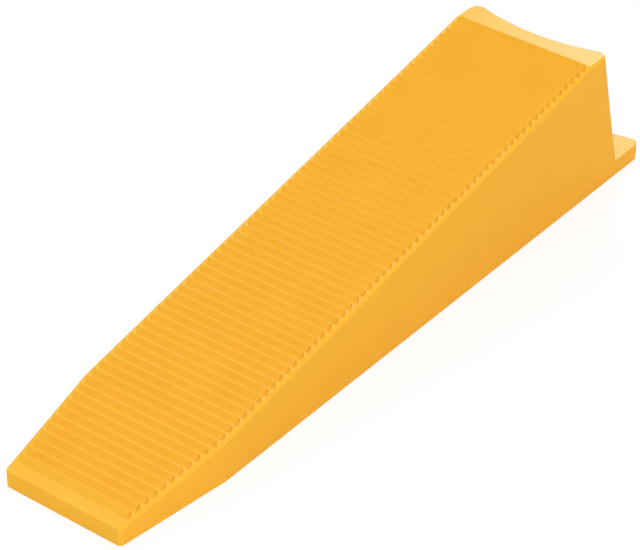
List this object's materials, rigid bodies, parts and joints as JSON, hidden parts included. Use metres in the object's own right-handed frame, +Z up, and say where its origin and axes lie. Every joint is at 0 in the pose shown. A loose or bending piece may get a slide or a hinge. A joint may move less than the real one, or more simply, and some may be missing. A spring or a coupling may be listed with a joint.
{
  "type": "tile levelling wedge",
  "caption": "Moulded plastic wedge with a toothed ramp, scooped back and thin heel, pushed through a clip's window to press neighbouring tiles level.",
  "frame": {"origin": "centre of the bounding box's base, on the underside of the middle rib", "axes": "+X from the tip to the heel along the length, +Y across the width, +Z up from the underside to the toothed ramp"},
  "size_m": [0.0983, 0.02, 0.0197],
  "materials": {
    "wedge": "fine matt as moulded, yellow-orange"
  },
  "bodies": {
    "root": {"wedge": "wedge"}
  },
  "joints": []
}
